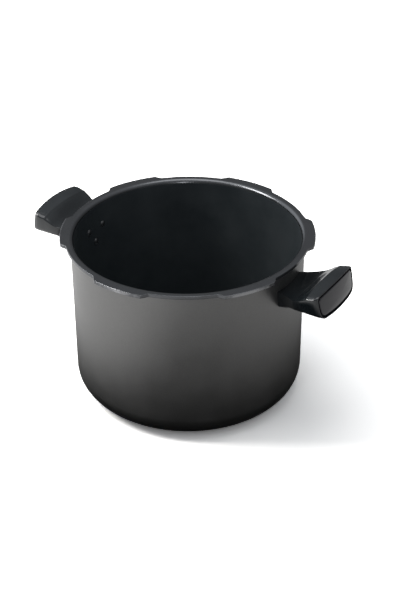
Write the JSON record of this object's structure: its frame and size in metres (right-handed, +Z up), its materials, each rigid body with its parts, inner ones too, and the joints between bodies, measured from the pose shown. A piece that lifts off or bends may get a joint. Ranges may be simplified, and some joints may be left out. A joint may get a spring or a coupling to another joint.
{
  "type": "pressure cooker pot",
  "caption": "Deep cylindrical cooking pot with a bayonet rim, dark metal shell and black side handles: the lower vessel of a pressure cooker, shown without its lid.",
  "frame": {"origin": "middle of the underside, where the pot stands", "axes": "+Z up along the pot's axis, +X through the middle of the right handle, +Y away from the front"},
  "size_m": [0.3324, 0.2466, 0.167],
  "materials": {
    "anodised_shell": "hard anodised, satin outside, dark non-stick coating inside",
    "base_steel": "turned in circles",
    "bracket_steel": "pressed sheet",
    "rivet_metal": "anodised domed heads, smooth",
    "grip_phenolic": "glossy moulded phenolic",
    "cap_plastic": "glossy inset cap",
    "fastener_steel": "zinc plated"
  },
  "bodies": {
    "root": {"pot_shell": "anodised_shell", "induction_base": "base_steel", "left_bracket": "bracket_steel", "left_rivet_upper_front": "rivet_metal", "left_rivet_upper_rear": "rivet_metal", "left_rivet_lower": "rivet_metal", "left_grip": "grip_phenolic", "left_end_cap": "cap_plastic", "left_screw": "fastener_steel", "left_spring_washer": "fastener_steel", "left_nut": "fastener_steel", "right_bracket": "bracket_steel", "right_rivet_upper_front": "rivet_metal", "right_rivet_upper_rear": "rivet_metal", "right_rivet_lower": "rivet_metal", "right_grip": "grip_phenolic", "right_end_cap": "cap_plastic", "right_screw": "fastener_steel", "right_spring_washer": "fastener_steel", "right_nut": "fastener_steel"}
  },
  "joints": []
}
